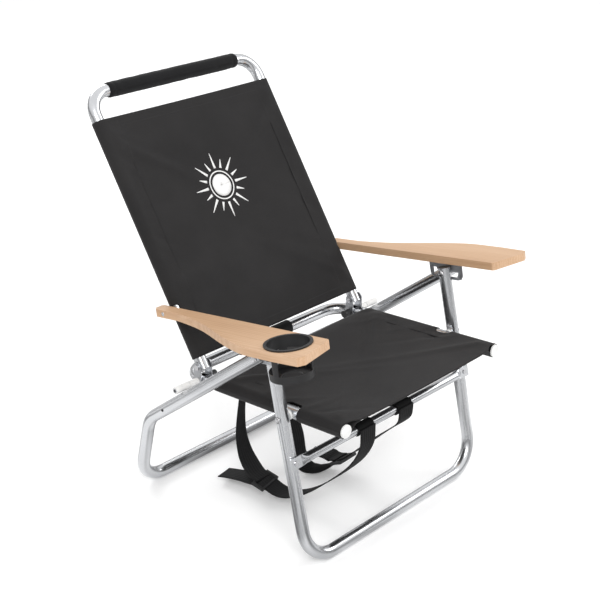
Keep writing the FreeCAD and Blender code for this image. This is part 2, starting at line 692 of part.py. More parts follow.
def cup_holder():
    axis_x = -dim("cup_x")
    half = dim("arm_thick") / 2
    reach = dim("cup_reach")

    def spot(rise):
        return arm_point(axis_x, reach, rise)

    wall = "Dimensions.cup_bore + Dimensions.cup_wall"
    bottom = half - dim("cup_depth")
    body = cylinder("cup_body", spot(bottom), arm_up, wall, "Dimensions.cup_depth + 1")
    rim = cylinder("cup_rim", spot(half + 0.02), arm_up, "Dimensions.cup_rim_radius", "Dimensions.cup_rim_height")
    hollow = cylinder("cup_hollow", spot(bottom + 2.5), arm_up, "Dimensions.cup_bore", "Dimensions.cup_depth + 10")
    drain = cylinder("cup_drain", spot(bottom - 5), arm_up, "17", "20")
    cuts = [hollow, drain]
    low = bottom + dim("cup_band")
    high = -half - 4.0
    for index in range(3):
        wedge = doc.addObject("Part::Cylinder", "cup_window_%d" % index)
        wedge.Radius = 60
        wedge.Height = high - low
        wedge.Angle = 100
        spin = FreeCAD.Rotation(Vector(0, 0, 1), 120.0 * index + 71.7)
        wedge.Placement = FreeCAD.Placement(spot(low), turn_to(arm_up) * spin)
        core = cylinder("cup_core_%d" % index, spot(low - 1), arm_up, "Dimensions.cup_bore - 6",
                        "%f" % (high - low + 2))
        cuts.append(cut("cup_gap_%d" % index, wedge, [core]))
    node("cup_holder", cut("cup_holder", fuse("cup_solid", [body, rim]), cuts))


# ------------------------------------------------------------------- straps
# A strap's line is a list of (x, y, z, twist) with y measured from the front ground
# bar; twist is how far the webbing's width is turned about the vertical, in degrees.
STRAPS = {
    "strap_front_right": [(-60, 17.1, 199, 0), (-60, 17, 184, 0), (-60, 17.6, 164, 0), (-62, 30, 134, 0),
                          (-66, 50, 106, 0), (-76, 86, 70, 0), (-86, 118, 42, 0), (-96, 150, 22, 0),
                          (-102, 176, 15, 0), (-106, 201, 20, 0)],
    "strap_rear_right": [(-108, 244, 34, 0), (-96, 276, 44, 8), (-90, 294, 60, 16), (-84, 308, 84, 21),
                         (-72, 318, 120, 25), (-58, 322, 175, 29), (-48, 322, 227, 31)],
    "strap_front_left": [(42, 17.1, 199, 0), (42, 17, 186, 0), (42, 20, 170, 0), (42, 38, 152, 0),
                         (42, 62, 130, 0), (42, 95, 96, 0), (41, 130, 62, 0), (40, 144, 48, 0)],
    "strap_rear_left": [(36, 176, 19, 0), (24, 186, 13, 0), (8, 198, 9, 0), (-2, 218, 9, 0), (0, 238, 24, 0),
                        (4, 246, 57, 0), (2, 254, 84, 0), (6, 276, 130, 0), (24, 306, 180, 0),
                        (42, 321, 227, 0)],
    "strap_tail_right": [(-113, 240, 22, 0), (-116, 262, 21, 0), (-121, 290, 17, 0), (-126, 312, 12, 0)],
    "strap_tail_left": [(38, 179, 29, 0), (34, 190, 34, 0), (28, 208, 35, 0), (22, 226, 31, 0)],
}


def strap(name, points):
    """Flat webbing: a rectangle whose width starts out level and is carried along the line."""
    half = dim("web_width") / 2
    thick = dim("web_thick") / 2
    spots = [at(*point[:3]) for point in points]
    sections = []
    for index, spot in enumerate(spots):
        before = spots[max(index - 1, 0)]
        after = spots[min(index + 1, len(spots) - 1)]
        along = (after - before).normalize()
        twist = math.radians(points[index][3])
        level = Vector(math.cos(twist), math.sin(twist), 0)
        across = (level - along * along.dot(level)).normalize()
        normal = along.cross(across)
        corners = [spot + across * (a * half) + normal * (b * thick)
                   for a, b in ((-1, -1), (1, -1), (1, 1), (-1, 1))]
        sections.append(Part.makePolygon(corners + [corners[0]]))
    body = doc.addObject("Part::Feature", name)
    webbing = Part.makeLoft(sections, True, True)
    if webbing.Volume < 0:
        webbing.reverse()
    body.Shape = webbing
    node(name, body)


def buckle(name, centre, direction):
    """A three-bar ladder-lock slider."""
    spot = at(*centre)
    along = Vector(*direction).normalize()
    across = (Vector(1, 0, 0) - along * along.x).normalize()
    turn = FreeCAD.Rotation(across, along, across.cross(along), "XYZ")
    frame = doc.addObject("Part::Box", name + "_frame")
    frame.Length = 50
    frame.Width = 26
    frame.Height = 5
    frame.Placement = FreeCAD.Placement(spot + turn.multVec(Vector(-25, -13, -2.5)), turn)
    slots = []
    for index, shift in enumerate((-9.4, 2.4)):
        slot = doc.addObject("Part::Box", "%s_slot_%d" % (name, index))
        slot.Length = 40
        slot.Width = 7
        slot.Height = 12
        slot.Placement = FreeCAD.Placement(spot + turn.multVec(Vector(-20, shift, -6)), turn)
        slots.append(slot)
    node(name, cut(name, frame, slots))


def webbing_loop(name, point, x, radius):
    """The sewn end of a strap, wrapped round a bar."""
    centre = place(point, x - dim("web_width") / 2)
    outer = cylinder(name + "_outer", centre, Vector(1, 0, 0), radius + " + Dimensions.web_thick",
                     "Dimensions.web_width")
    inner = cylinder(name + "_inner", centre - Vector(1, 0, 0), Vector(1, 0, 0),
                     radius, "Dimensions.web_width + 2")
    return cut(name, outer, [inner])


def straps():
    for name, points in STRAPS.items():
        strap(name, points)
    buckle("buckle_right", (-109, 219, 27), (-0.18, 0.95, 0.27))
    buckle("buckle_left", (39, 160, 33), (-0.1, 0.9, -0.42))
    bar = leg_point(dim("stretcher_z")) + leg_front * (R + 1.7)
    crossbar = pivot + rail_line * dim("crossbar_reach")
    for side, front_x, rear_x in (("right", -60, -48), ("left", 42, 42)):
        front = webbing_loop("stretcher_loop_" + side, bar, front_x, "Dimensions.stretcher_radius + 0.15")
        rear = webbing_loop("seat_loop_" + side, crossbar, rear_x, "Dimensions.tube_radius + 0.15")
        node("strap_loop_front_" + side, front)
        node("strap_loop_rear_" + side, rear)


# --------------------------------------------------------------------- build
front_leg_frame()
front_leg_hardware()
stretcher()
rear_leg_frame()
seat_frame()
seat_caps()
seat_sling()
hinge_brackets()
rest_pins()
back_hinge_bolts()
back_frame()
back_sling()
grip()
for arm_side, arm_sign in SIDES:
    arm_plank(arm_side, arm_sign)
    notch_plate(arm_side, arm_sign)
    arm_bolt_set(arm_side, arm_sign)
cup_holder()
straps()
doc.recompute()

# -------------------------------------------------------------------- export
for item in doc.Objects:
    if "Invalid" in item.State or "Error" in item.State:
        raise RuntimeError("%s failed to build" % item.Name)
for label, feature in nodes:
    if feature.Shape.isNull() or not feature.Shape.isValid():
        raise RuntimeError("%s has no valid shape" % label)
for label, feature in nodes:
    feature.Shape.exportStep("parts/%s.step" % label)
box = FreeCAD.BoundBox()
for label, feature in nodes:
    box.add(feature.Shape.BoundBox)
print("nodes", len(nodes))
print("box", [round(v, 2) for v in (box.XMin, box.XMax, box.YMin, box.YMax, box.ZMin, box.ZMax)])
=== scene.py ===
# Looks of the folding beach chair: cloth slings, webbing, grip, tube and wood finishes.
import json
import math
import random
import bpy
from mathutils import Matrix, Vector


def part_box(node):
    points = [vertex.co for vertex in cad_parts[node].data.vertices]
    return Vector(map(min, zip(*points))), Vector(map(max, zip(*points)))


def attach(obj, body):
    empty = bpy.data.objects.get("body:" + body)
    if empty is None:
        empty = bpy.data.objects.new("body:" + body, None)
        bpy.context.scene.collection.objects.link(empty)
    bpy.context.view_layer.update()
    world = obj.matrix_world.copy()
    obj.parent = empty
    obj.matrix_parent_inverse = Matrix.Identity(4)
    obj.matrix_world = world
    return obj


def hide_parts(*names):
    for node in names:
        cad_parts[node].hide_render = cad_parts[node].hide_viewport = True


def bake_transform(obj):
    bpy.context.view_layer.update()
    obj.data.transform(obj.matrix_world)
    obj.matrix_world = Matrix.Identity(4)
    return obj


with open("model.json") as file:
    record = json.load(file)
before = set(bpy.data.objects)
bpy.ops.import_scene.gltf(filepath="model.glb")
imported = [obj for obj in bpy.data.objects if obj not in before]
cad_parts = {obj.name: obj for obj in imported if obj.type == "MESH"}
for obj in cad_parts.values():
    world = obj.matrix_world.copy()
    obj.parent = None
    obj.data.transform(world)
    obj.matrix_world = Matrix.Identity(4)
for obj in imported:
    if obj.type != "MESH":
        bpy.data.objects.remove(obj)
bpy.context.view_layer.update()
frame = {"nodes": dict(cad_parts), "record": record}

joints = {joint["name"]: joint for joint in frame["record"]["behaviour"]["joints"]}
HINGE = Vector(joints["recline"]["pos_m"])
SEAT_PIVOT = Vector(joints["seat_fold"]["pos_m"])
ARM_BOLT = Vector(joints["arm_fold_right"]["pos_m"])

# Directions of the two cloth planes, and sizes of the frame, in metres.
ACROSS = Vector((1, 0, 0))
BACK_LINE = (ARM_BOLT - HINGE).normalized()
BACK_FACE = Vector((0, -BACK_LINE.z, BACK_LINE.y))
RAIL_TILT = math.radians(4.46)
RAIL_LINE = Vector((0, math.cos(RAIL_TILT), -math.sin(RAIL_TILT)))
RAIL_FACE = Vector((0, math.sin(RAIL_TILT), math.cos(RAIL_TILT)))
PIVOT_ALONG_RAIL = 0.112
RAIL_FRONT = SEAT_PIVOT - RAIL_LINE * PIVOT_ALONG_RAIL
TUBE = 0.0111  # outer radius
TUBE_X = 0.1975  # side tubes' axis from the middle
ARM_TILT = math.radians(9.3)


# ------------------------------------------------------------------ materials
class Shade:
    """A small helper that adds nodes to one material."""

    def __init__(self, name, color, roughness, metallic=0.0):
        self.material = bpy.data.materials.new(name)
        self.material.use_nodes = True
        self.tree = self.material.node_tree
        self.shader = self.tree.nodes["Principled BSDF"]
        self.shader.inputs["Base Color"].default_value = (*color, 1)
        self.shader.inputs["Roughness"].default_value = roughness
        self.shader.inputs["Metallic"].default_value = metallic

    def add(self, kind, **values):
        node = self.tree.nodes.new(kind)
        for key, value in values.items():
            setattr(node, key, value)
        return node

    def join(self, output, target):
        self.tree.links.new(output, target)

    def place(self, scale, tilt=0.0):
        """Object coordinates turned about X by tilt and scaled per axis."""
        source = self.add("ShaderNodeTexCoord")
        turned = self.add("ShaderNodeMapping")
        turned.inputs["Rotation"].default_value = (tilt, 0, 0)
        self.join(source.outputs["Object"], turned.inputs["Vector"])
        sized = self.add("ShaderNodeMapping")
        sized.inputs["Scale"].default_value = scale
        self.join(turned.outputs["Vector"], sized.inputs["Vector"])
        return sized.outputs["Vector"]

    def noise(self, vector, detail, rough=0.55):
        """Cloudy noise; the vector from place() carries its scale."""
        node = self.add("ShaderNodeTexNoise")
        node.inputs["Scale"].default_value = 1.0
        node.inputs["Detail"].default_value = detail
        node.inputs["Roughness"].default_value = rough
        self.join(vector, node.inputs["Vector"])
        return node.outputs["Fac"]

    def wave(self, vector, scale, axis, distortion=0.0):
        node = self.add("ShaderNodeTexWave", wave_type="BANDS", bands_direction=axis, wave_profile="SIN")
        node.inputs["Scale"].default_value = scale
        node.inputs["Distortion"].default_value = distortion
        node.inputs["Detail"].default_value = 1.0
        self.join(vector, node.inputs["Vector"])
        return node.outputs["Fac"]

    def math(self, operation, first, second):
        node = self.add("ShaderNodeMath", operation=operation)
        for index, value in enumerate((first, second)):
            if isinstance(value, (int, float)):
                node.inputs[index].default_value = value
            else:
                self.join(value, node.inputs[index])
        return node.outputs[0]

    def spread(self, fac, low, high):
        """Maps 0..1 onto low..high."""
        node = self.add("ShaderNodeMapRange")
        node.inputs["To Min"].default_value = low
        node.inputs["To Max"].default_value = high
        self.join(fac, node.inputs["Value"])
        return node.outputs["Result"]

    def ramp(self, fac, *stops):
        """Colours the 0..1 value by (position, colour) stops."""
        node = self.add("ShaderNodeValToRGB")
        elements = node.color_ramp.elements
        while len(elements) < len(stops):
            elements.new(0.5)
        for element, (position, color) in zip(elements, stops):
            element.position = position
            element.color = (*color, 1)
        self.join(fac, node.inputs["Fac"])
        return node.outputs["Color"]

    def color(self, output):
        self.join(output, self.shader.inputs["Base Color"])

    def rough(self, output):
        self.join(output, self.shader.inputs["Roughness"])

    def bump(self, height, distance, strength):
        node = self.add("ShaderNodeBump")
        node.inputs["Strength"].default_value = strength
        node.inputs["Distance"].default_value = distance
        self.join(height, node.inputs["Height"])
        self.join(node.outputs["Normal"], self.shader.inputs["Normal"])


def polished_tube():
    """Drawn aluminium: soft smears, fine draw lines and faint handling marks."""
    m = Shade("polished_tube", (0.66, 0.67, 0.69), 0.28, 1.0)
    smears = m.noise(m.place((14, 5, 5)), 3.0)
    marks = m.noise(m.place((220, 60, 60)), 6.0, 0.7)
    m.rough(m.math("ADD", m.spread(smears, 0.14, 0.24), m.math("MULTIPLY", marks, 0.06)))
    m.color(m.ramp(smears, (0.3, (0.58, 0.59, 0.61)), (0.7, (0.72, 0.73, 0.75))))
    m.bump(marks, 0.00004, 0.5)
    return m.material


def plated(name, color, roughness):
    """Plated steel with a faint cloudy haze."""
    m = Shade(name, color, roughness, 1.0)
    cloud = m.noise(m.place((90, 90, 90)), 5.0, 0.7)
    m.rough(m.spread(cloud, roughness - 0.08, roughness + 0.14))
    m.color(m.ramp(cloud, (0.3, tuple(c * 0.8 for c in color)), (0.75, color)))
    m.bump(m.noise(m.place((600, 600, 600)), 2.0), 0.00003, 0.5)
    return m.material


def moulded(name, color, roughness):
    """Moulded plastic with a fine spark-eroded texture and slight tone drift."""
    m = Shade(name, color, roughness)
    drift = m.noise(m.place((25, 25, 25)), 3.0)
    darker = tuple(c * 0.82 for c in color)
    lighter = tuple(min(c * 1.15, 1) for c in color)
    m.color(m.ramp(drift, (0.25, darker), (0.8, lighter)))
    m.rough(m.spread(drift, roughness - 0.06, roughness + 0.1))
    m.bump(m.noise(m.place((1500, 1500, 1500)), 2.0), 0.00004, 0.6)
    m.shader.inputs["Specular IOR Level"].default_value = 0.4
    return m.material


def light_wood():
    """Varnished beech: long fibres along the arm, growth bands, pores and small rays."""
    m = Shade("light_wood", (0.66, 0.45, 0.27), 0.45)
    along = m.place((1, 0.05, 1), ARM_TILT)
    bands = m.wave(along, 55.0, "X", 6.0)
    fibre = m.noise(m.place((420, 9, 420), ARM_TILT), 5.0, 0.65)
    drift = m.noise(m.place((22, 2.5, 22), ARM_TILT), 3.0)
    pores = m.noise(m.place((1300, 45, 1300), ARM_TILT), 1.0)
    mix = m.math("ADD", m.math("MULTIPLY", bands, 0.10), m.math("MULTIPLY", fibre, 0.48))
    mix = m.math("ADD", mix, m.math("MULTIPLY", drift, 0.42))
    m.color(m.ramp(mix, (0.25, (0.43, 0.25, 0.135)), (0.45, (0.56, 0.35, 0.205)), (0.62, (0.63, 0.42, 0.265)),
                   (0.82, (0.70, 0.50, 0.34))))
    m.rough(m.spread(fibre, 0.36, 0.58))
    m.bump(m.math("ADD", fibre, m.math("MULTIPLY", pores, 0.7)), 0.00012, 0.6)
    m.shader.inputs["Coat Weight"].default_value = 0.12
    m.shader.inputs["Coat Roughness"].default_value = 0.35
    return m.material


WAVE_BANDS = math.pi / 10  # times 1 / pitch, the wave texture's scale for one band a pitch


def woven(name, tilt, dark, light, pitch=0.0009):
    """Plain weave with threads crossing over and under, lint and a faint dusty sheen."""
    m = Shade(name, light, 0.85)
    scale = WAVE_BANDS / pitch
    flat = m.place((1, 1, 1), tilt)
    warp = m.wave(flat, scale, "X")
    weft = m.wave(flat, scale, "Y")
    weave = m.math("MULTIPLY", warp, weft)
    thread = m.math("ADD", m.math("MULTIPLY", warp, 0.5), m.math("MULTIPLY", weft, 0.5))
    lint = m.noise(m.place((900, 900, 900), tilt), 3.0, 0.7)
    cloud = m.noise(m.place((9, 9, 9), tilt), 4.0)
    tone = m.math("ADD", m.math("MULTIPLY", thread, 0.35), m.math("MULTIPLY", cloud, 0.4))
    tone = m.math("ADD", tone, m.math("MULTIPLY", lint, 0.25))
    m.color(m.ramp(tone, (0.25, dark), (0.75, light)))
    m.rough(m.spread(lint, 0.72, 0.95))
    m.bump(m.math("ADD", weave, m.math("MULTIPLY", lint, 0.4)), 0.00018, 0.5)
    m.shader.inputs["Sheen Weight"].default_value = 0.07
    m.shader.inputs["Sheen Roughness"].default_value = 0.45
    m.shader.inputs["Specular IOR Level"].default_value = 0.24
    return m.material


def webbing():
    """Herringbone webbing: ribs along the strap, from the strap's own coordinates."""
    m = Shade("webbing", (0.012, 0.012, 0.013), 0.8)
    source = m.add("ShaderNodeUVMap")
    across = m.wave(source.outputs["UV"], 60.0, "X")
    twill = m.wave(source.outputs["UV"], 110.0, "DIAGONAL")
    lint = m.noise(m.place((700, 700, 700)), 3.0)
    tone = m.math("ADD", m.math("MULTIPLY", across, 0.4), m.math("MULTIPLY", lint, 0.6))
    m.color(m.ramp(tone, (0.2, (0.003, 0.003, 0.0032)), (0.85, (0.013, 0.013, 0.014))))
    m.bump(m.math("ADD", across, m.math("MULTIPLY", twill, 0.6)), 0.0004, 0.7)
    m.shader.inputs["Specular IOR Level"].default_value = 0.3
    return m.material


def printed():
    """White screen-print ink with a slightly broken surface."""
    m = Shade("print_ink", (0.82, 0.82, 0.81), 0.7)
    speck = m.noise(m.place((1400, 1400, 1400)), 3.0, 0.7)
    m.color(m.ramp(speck, (0.25, (0.55, 0.55, 0.55)), (0.5, (0.84, 0.84, 0.83))))
    m.bump(speck, 0.00005, 0.5)
    return m.material


TUBE_FINISH = polished_tube()
BRIGHT = plated("bright_steel", (0.74, 0.74, 0.76), 0.24)
PLATE = plated("plate_steel", (0.52, 0.53, 0.55), 0.38)
WHITE = moulded("white_plastic", (0.80, 0.80, 0.79), 0.42)
BLACK = moulded("black_plastic", (0.018, 0.018, 0.019), 0.42)
WOOD = light_wood()
CLOTH_DARK, CLOTH_LIGHT = (0.009, 0.0085, 0.0088), (0.029, 0.0275, 0.028)
SEAT_CLOTH = woven("seat_cloth", RAIL_TILT, CLOTH_DARK, CLOTH_LIGHT)
BACK_CLOTH = woven("back_cloth", -math.atan2(BACK_LINE.z, BACK_LINE.y), CLOTH_DARK, CLOTH_LIGHT)
GRIP_CLOTH = woven("grip_cloth", 0.0, (0.003, 0.003, 0.0035), (0.010, 0.010, 0.011), 0.0010)
WEBBING = webbing()
INK = printed()
FINISHES = {"polished_tube": TUBE_FINISH, "bright_steel": BRIGHT, "plate_steel": PLATE, "light_wood": WOOD,
            "white_plastic": WHITE, "black_plastic": BLACK, "black_cloth": SEAT_CLOTH,
            "black_webbing": WEBBING, "grip_foam": GRIP_CLOTH}


SMOOTH_BELOW = math.radians(32)
BEVEL_ABOVE = math.radians(40)


def finish_cad_nodes():
    """Gives each CAD node the finish that its material slot names."""
    slots = {entry["node"]: entry["material_slot"] for entry in frame["record"]["subparts"]}
    for name, piece in frame["nodes"].items():
        finish = FINISHES[slots[name]]
        if not piece.data.materials:
            piece.data.materials.append(finish)
        for holder in piece.material_slots:
            holder.material = finish
        piece.data.polygons.foreach_set("use_smooth", [True] * len(piece.data.polygons))
        piece.data.set_sharp_from_angle(angle=SMOOTH_BELOW)


def soften(name, width, segments=2):
    """A small round on a CAD node's hard edges."""
    bevel = frame["nodes"][name].modifiers.new("edge", "BEVEL")
    bevel.width = width
    bevel.segments = segments
    bevel.limit_method = "ANGLE"
    bevel.angle_limit = BEVEL_ABOVE
    bevel.harden_normals = True


# ---------------------------------------------------------------- mesh making
def mesh_object(name, vertices, faces, material, uvs=None):
    data = bpy.data.meshes.new(name)
    data.from_pydata([tuple(v) for v in vertices], [], faces)
    data.validate()
    if uvs:
        layer = data.uv_layers.new(name="UVMap")
        for loop in data.loops:
            layer.data[loop.index].uv = uvs[loop.vertex_index]
    data.polygons.foreach_set("use_smooth", [True] * len(data.polygons))
    data.materials.append(material)
    piece = bpy.data.objects.new(name, data)
    bpy.context.scene.collection.objects.link(piece)
    return piece


def settle(piece):
    """Applies the piece's modifiers to its mesh."""
    bpy.context.view_layer.update()
    graph = bpy.context.evaluated_depsgraph_get()
    data = bpy.data.meshes.new_from_object(piece.evaluated_get(graph))
    piece.modifiers.clear()
    piece.data = data


def thicken(piece, thickness):
    """Gives a flat mesh its thickness, half to each side."""
    solid = piece.modifiers.new("thickness", "SOLIDIFY")
    solid.thickness = thickness
    solid.offset = 0.0
    solid.use_even_offset = True
    settle(piece)


def carve(piece, cutters):
    """Cuts the cutters out of the piece and removes them."""
    for cutter in cutters:
        cutting = piece.modifiers.new("cut", "BOOLEAN")
        cutting.operation = "DIFFERENCE"
        cutting.solver = "EXACT"
        cutting.object = cutter
    settle(piece)
    for cutter in cutters:
        bpy.data.objects.remove(cutter)


def smooth_line(points, steps=9):
    """A smooth line near the points: a quadratic B-spline with a run of steps at each inner point."""
    spots = [Vector(p) for p in points]
    line = [spots[0]]
    for index in range(1, len(spots) - 1):
        start = spots[0] if index == 1 else (spots[index - 1] + spots[index]) / 2
        stop = spots[-1] if index == len(spots) - 2 else (spots[index] + spots[index + 1]) / 2
        for step in range(1, steps + 1):
            t = step / steps
            line.append(start * (1 - t) ** 2 + spots[index] * 2 * t * (1 - t) + stop * t * t)
    return line


# --------------------------------------------------------------------- slings
CLOTH_THICK = 0.0009
SLEEVE = TUBE + 0.0011  # radius of the cloth round a side tube
SEAM_X = 0.168  # side seams from the middle
HEM_X = 0.163  # ends of the cross seams from the middle
COLUMNS = 84  # strips across the cloth
PUCKERS = 17  # small folds along each side seam
STITCH_PITCH = 0.0042
STITCH_LENGTH = 0.0029


class Sling:
    """Cloth stretched between two parallel tubes; a sleeve is sewn round each."""

    def __init__(self, name, origin, line, face, material, start, stop, sag, seed):
        self.name = name
        self.origin, self.line, self.face, self.material = origin, line, face, material
        self.start, self.stop, self.sag = start, stop, sag
        self.random = random.Random(seed)
        self.puckers = self.make_puckers()

    def make_puckers(self):
        """Small diagonal folds that start at the side seams and die out inwards."""
        folds = []
        for side in (-1, 1):
            reach = self.stop(0) - self.start(0)
            for index in range(PUCKERS):
                along = self.start(0) + reach * (index + self.random.uniform(0.1, 0.9)) / PUCKERS
                folds.append((side, along, self.random.uniform(0.007, 0.016), self.random.uniform(0.03, 0.10),
                              self.random.uniform(-0.9, 0.9), self.random.uniform(-0.0020, 0.0022)))
            for end, lean in ((0.93, 0.8), (0.88, 0.55), (0.08, -0.7)):
                folds.append((side, self.start(0) + reach * end, 0.011, 0.14, -lean, 0.0026))
        return folds

    def height(self, across, along):
        """How far the flat cloth stands off the tubes' axis plane."""
        reach = (along - self.start(0)) / (self.stop(0) - self.start(0))
        reach = min(max(reach, 0.0), 1.0)
        width = min(abs(across) / TUBE_X, 1.0)
        dip = self.sag * (1 - width ** 2) * (0.45 + 0.55 * math.sin(math.pi * reach))
        fold = 0.0
        for side, centre, size, length, lean, depth in self.puckers:
            inward = TUBE_X - side * across
            if inward < 0 or inward > 3 * length:
                continue
            shift = (along - centre - lean * inward) / size
            if abs(shift) < 3:
                fade = math.exp(-(inward / length) ** 2) * min(inward / 0.012, 1.0)
                fold += depth * math.exp(-shift * shift) * fade
        return SLEEVE - dip + fold

    def point(self, across, along, rise):
        """A point of the chair from the sling's own directions."""
        return self.origin + ACROSS * across + self.line * along + self.face * rise

    def surface(self, across, along, lift=0.0):
        """A point on the cloth, or lifted off it."""
        return self.point(across, along, self.height(across, along) + lift)

    def profile(self):
        """(x, rise) from the side seam down and round the outside of the sleeve to its top."""
        under = []
        bottom_x = SEAM_X + 0.010
        flat_steps, round_steps = 5, 16
        for index in range(flat_steps):
            t = index / flat_steps
            under.append((SEAM_X + (bottom_x - SEAM_X) * t, SLEEVE * (0.90 - 0.5 * t)))
        for index in range(round_steps + 1):
            angle = math.radians(215) + math.radians(235) * index / round_steps
            under.append((TUBE_X + SLEEVE * math.cos(angle), SLEEVE * math.sin(angle)))
        return under

    def build(self, rows):
        """The cloth in rows along its length; a rise of None takes the sheet's own height."""
        wrap = self.profile()
        left = [(-x, rise) for x, rise in wrap]
        flat = [(TUBE_X * (2 * index / COLUMNS - 1), None) for index in range(1, COLUMNS)]
        ring = left + flat + list(reversed(wrap))
        vertices = []
        for row in range(rows + 1):
            share = row / rows
            for across, rise in ring:
                first, last = self.start(abs(across)), self.stop(abs(across))
                along = first + (last - first) * share
                if rise is None:
                    vertices.append(self.surface(across, along))
                else:
                    vertices.append(self.point(across, along, rise))
        width = len(ring)
        faces = []
        for row in range(rows):
            for column in range(width - 1):
                corner = row * width + column
                faces.append((corner, corner + 1, corner + width + 1, corner + width))
        piece = mesh_object(self.name, vertices, faces, self.material)
        thicken(piece, CLOTH_THICK)
        return piece

    def block(self, across, along, half_across, half_along):
        """A rounded cutter through the whole sling."""
        data = bpy.data.meshes.new("cutter")
        vertices = []
        reach = 0.03
        corner = min(half_along, half_across) * 0.6
        outline = []
        for turn in range(4):
            cx = (half_across - corner) * (1 if turn in (0, 3) else -1)
            cy = (half_along - corner) * (1 if turn in (0, 1) else -1)
            for step in range(7):
                angle = math.radians(90 * turn + 15 * step)
                outline.append((cx + corner * math.cos(angle), cy + corner * math.sin(angle)))
        for rise in (-reach, reach):
            for x, y in outline:
                vertices.append(self.point(across + x, along + y, rise))
        count = len(outline)
        faces = [tuple(range(count)), tuple(reversed(range(count, 2 * count)))]
        for index in range(count):
            following = (index + 1) % count
            faces.append((following, index, index + count, following + count))
        data.from_pydata([tuple(v) for v in vertices], [], faces)
        cutter = bpy.data.objects.new("cutter", data)
        bpy.context.scene.collection.objects.link(cutter)
        bpy.context.view_layer.objects.active = cutter
        cutter.select_set(True)
        bpy.ops.object.mode_set(mode="EDIT")
        bpy.ops.mesh.select_all(action="SELECT")
        bpy.ops.mesh.normals_make_consistent(inside=False)
        bpy.ops.object.mode_set(mode="OBJECT")
        cutter.select_set(False)
        return cutter

    def seam(self, name, first, last, material):
        """A straight row of raised stitches between two (across, along) places."""
        half_width, crown, root, lift = 0.00038, 0.00042, 0.0004, 0.0004
        vertices, faces = [], []
        (x0, y0), (x1, y1) = first, last
        span = math.hypot(x1 - x0, y1 - y0)
        count = max(int(span / STITCH_PITCH), 1)
        for index in range(count):
            middle = (index + 0.5) / count
            ends = []
            for end in (-1, 1):
                t = middle + end * STITCH_LENGTH / 2 / span
                ends.append(self.surface(x0 + (x1 - x0) * t, y0 + (y1 - y0) * t, lift))
            along = (ends[1] - ends[0]).normalized()
            side = along.cross(self.face) * half_width
            centre = (ends[0] + ends[1]) / 2
            base = len(vertices)
            vertices += [ends[0], centre + side, centre + self.face * crown, centre - side,
                         centre - self.face * root, ends[1]]
            for corner in range(4):
                this, following = base + 1 + corner, base + 1 + (corner + 1) % 4
                faces.append((base, this, following))
                faces.append((base + 5, following, this))
        stitches = mesh_object(name, vertices, faces, material)
        return stitches


def seat_front(across):
    """The seat cloth's front edge: straight in the middle, cut back at the side sleeves."""
    edge, slant, turn_width = -0.0095, 0.0100, 0.024
    t = min(max((across - HEM_X) / turn_width, 0.0), 1.0)
    return edge + slant * t * t * (3 - 2 * t)


def seat_rear(across):
    """The seat cloth's rear edge, which comes forward a little past the side seams."""
    return 0.3015 - 0.008 * max(across - 0.17, 0) / 0.04


def side_seams(sling, label, first, last, thread):
    """A seam along each side tube, from first to last along the cloth."""
    return [sling.seam(label + name, (side * SEAM_X, first), (side * SEAM_X, last), thread)
            for side, name in ((-1, "right"), (1, "left"))]


def make_slings():
    """The seat and back cloths with their seams and the back's emblem."""
    thread = moulded("thread", (0.05, 0.05, 0.052), 0.7)
    seat = Sling("seat_cover", RAIL_FRONT, RAIL_LINE, RAIL_FACE, SEAT_CLOTH,
                 start=seat_front, stop=seat_rear, sag=0.007, seed=11)
    cover = seat.build(rows=72)
    carve(cover, [seat.block(side * (TUBE_X + 0.014), PIVOT_ALONG_RAIL, 0.022, 0.0165) for side in (-1, 1)])
    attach(cover, "seat")
    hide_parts("seat_sling")
    rows = [seat.seam("seat_seam_front", (-HEM_X, 0.005), (HEM_X, 0.005), thread),
            seat.seam("seat_seam_rear", (-HEM_X, 0.289), (HEM_X, 0.289), thread)]
    rows += side_seams(seat, "seat_seam_", 0.02, 0.298, thread)
    for row in rows:
        row.parent = cover

    back = Sling("back_cover", HINGE, BACK_LINE, BACK_FACE, BACK_CLOTH,
                 start=lambda across: 0.0150, stop=lambda across: 0.4585, sag=0.009, seed=23)
    cover = back.build(rows=96)
    bolt_along = (ARM_BOLT - HINGE).length
    carve(cover, [back.block(side * (TUBE_X + 0.012), bolt_along, 0.0065, 0.0065) for side in (-1, 1)])
    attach(cover, "back")
    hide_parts("back_sling")
    rows = [back.seam("back_seam_low", (-HEM_X, 0.031), (HEM_X, 0.031), thread),
            back.seam("back_seam_high", (-HEM_X, 0.441), (HEM_X, 0.441), thread)]
    rows += side_seams(back, "back_seam_", 0.017, 0.456, thread)
    emblem = make_emblem(back)
    for row in rows + [emblem]:
        row.parent = cover


RAYS = 16
RAY_STEPS = 6
RING_SEGMENTS = 48
RING_STEPS = 3


